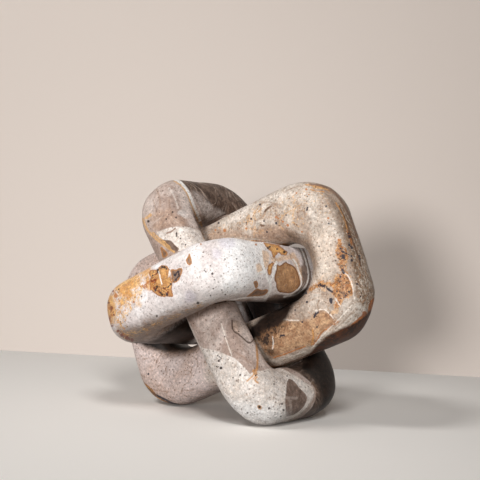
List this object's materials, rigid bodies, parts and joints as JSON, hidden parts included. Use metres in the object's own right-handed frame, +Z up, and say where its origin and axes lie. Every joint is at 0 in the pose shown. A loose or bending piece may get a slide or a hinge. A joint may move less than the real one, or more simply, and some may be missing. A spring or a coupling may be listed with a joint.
{
  "type": "marble knot sculpture",
  "caption": "Knot ornament of rounded stone links, each threaded loosely through the hole of the next, standing on rubbed flats.",
  "frame": {"origin": "on the ground, under the middle of the knot's box", "axes": "+Z up, the pictured front towards -Y, +X to the viewer's right"},
  "size_m": [0.246, 0.2584, 0.2258],
  "materials": {
    "beige_marble": "honed, with a soft sheen",
    "taupe_marble": "honed, with a soft sheen",
    "white_marble": "honed, with a soft sheen"
  },
  "bodies": {
    "leaning": {"leaning_link": "beige_marble"},
    "upright": {"upright_link": "taupe_marble"},
    "level": {"level_link": "white_marble"}
  },
  "joints": [
    {"name": "upright_slide", "type": "slide", "parent": "leaning", "child": "upright", "axis": [-0.4621, 0.3652, 0.8081], "range_m": [-0.005, 0]},
    {"name": "level_slide", "type": "slide", "parent": "leaning", "child": "level", "axis": [-0.6182, -0.7825, 0.0745], "range_m": [-0.0065, 0.0015]}
  ]
}
